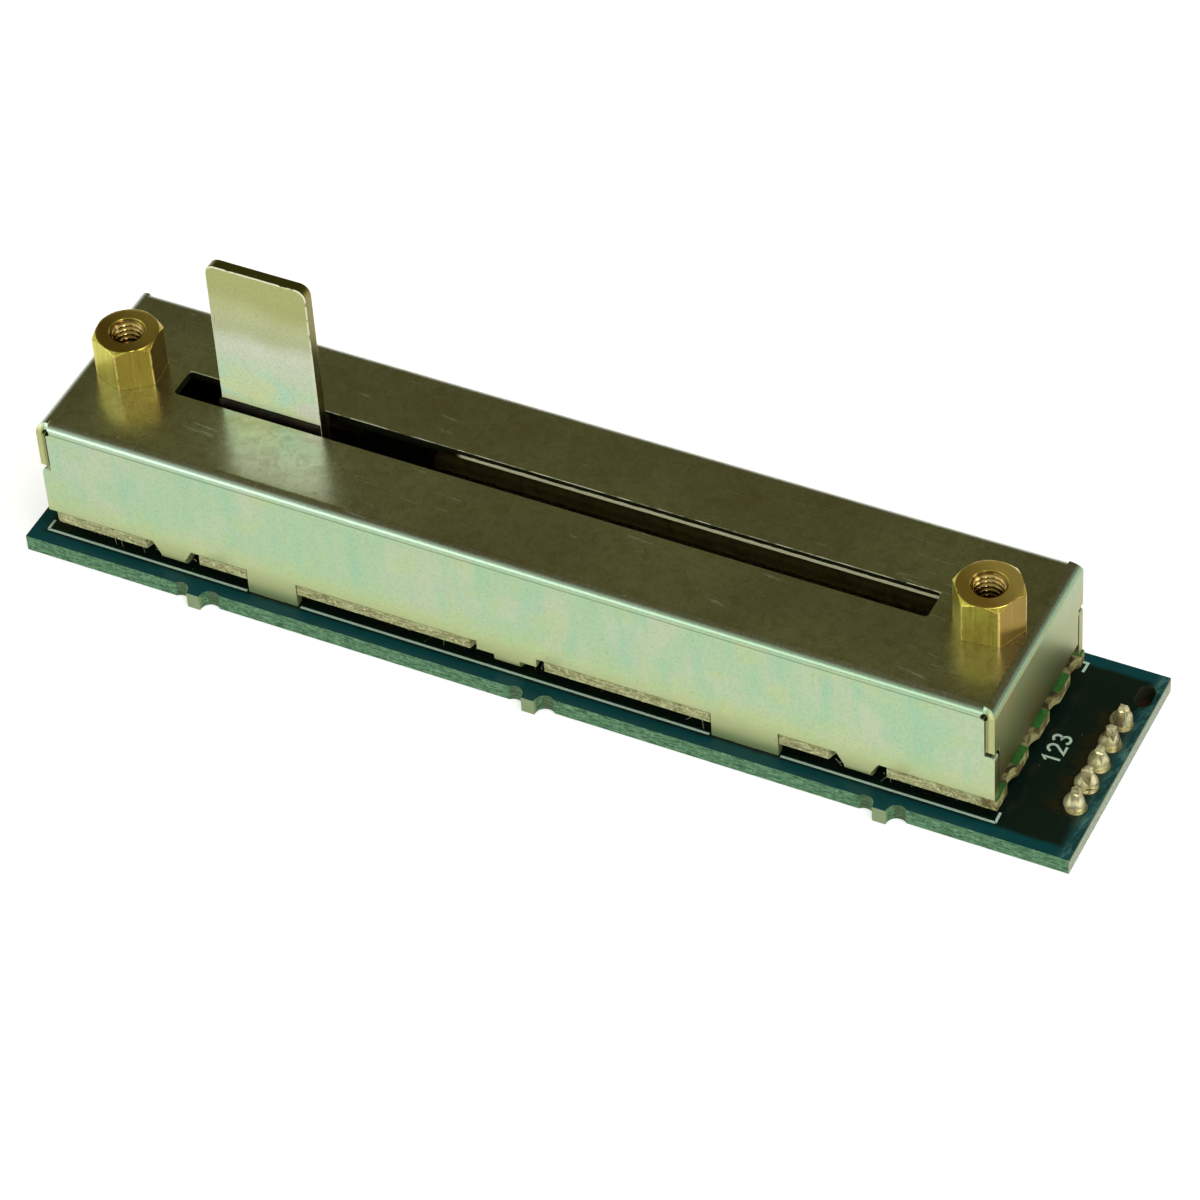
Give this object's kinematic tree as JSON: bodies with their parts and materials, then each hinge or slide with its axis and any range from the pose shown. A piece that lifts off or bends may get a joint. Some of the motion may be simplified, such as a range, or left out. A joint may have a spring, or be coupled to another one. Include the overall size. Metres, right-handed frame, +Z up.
{
  "type": "slide potentiometer",
  "caption": "Long-travel slide potentiometer in a folded plated-steel cover on its own narrow circuit board, with a blade lever in a slot and hexagon standoffs on top.",
  "frame": {"origin": "centre of the circuit board's underside", "axes": "+X along the lever's travel towards the header pins, +Y across the board towards the latch hole's side, +Z up out of the board towards the lever's tip"},
  "size_m": [0.0978, 0.024, 0.0297],
  "materials": {
    "solder_mask": "dark teal-green solder mask over glass laminate",
    "laminate": "resin-bonded paper laminate with rough sheared edges",
    "carbon_ink": "printed carbon track",
    "silver_ink": "printed silver track",
    "chromated_steel": "zinc plate with yellow iridescent chromate, finely specked",
    "brass": "machined brass, lightly tarnished",
    "ground_steel": "oiled dark steel rod",
    "black_moulding": "black moulded plastic",
    "slider_moulding": "black low-friction moulded plastic",
    "tinned_brass": "tinned brass rivet pin",
    "pin_tin": "tin-plated square pin",
    "solder": "bright solder with flux residue",
    "lever_steel": "plated steel blade with pale iridescent chromate, lightly scratched",
    "spring_bronze": "phosphor bronze spring sheet"
  },
  "bodies": {
    "base": {"circuit_board": "solder_mask", "substrate": "laminate", "resistance_track": "carbon_ink", "collector_track": "silver_ink", "cover": "chromated_steel", "standoff_left": "brass", "standoff_right": "brass", "guide_rod_front": "ground_steel", "guide_rod_back": "ground_steel", "rod_support_left": "black_moulding", "rod_support_right": "black_moulding", "terminal_1": "tinned_brass", "terminal_2": "tinned_brass", "terminal_3": "tinned_brass", "header_pin_1": "pin_tin", "solder_joint_1": "solder", "header_pin_2": "pin_tin", "solder_joint_2": "solder", "header_pin_3": "pin_tin", "solder_joint_3": "solder", "header_pin_4": "pin_tin", "solder_joint_4": "solder", "header_pin_5": "pin_tin", "solder_joint_5": "solder"},
    "slider": {"carriage": "slider_moulding", "lever": "lever_steel", "wiper": "spring_bronze"}
  },
  "joints": [
    {"name": "slider_travel", "type": "slide", "parent": "base", "child": "slider", "axis": [1, 0, 0], "range_m": [-0.0039, 0.0561]}
  ]
}
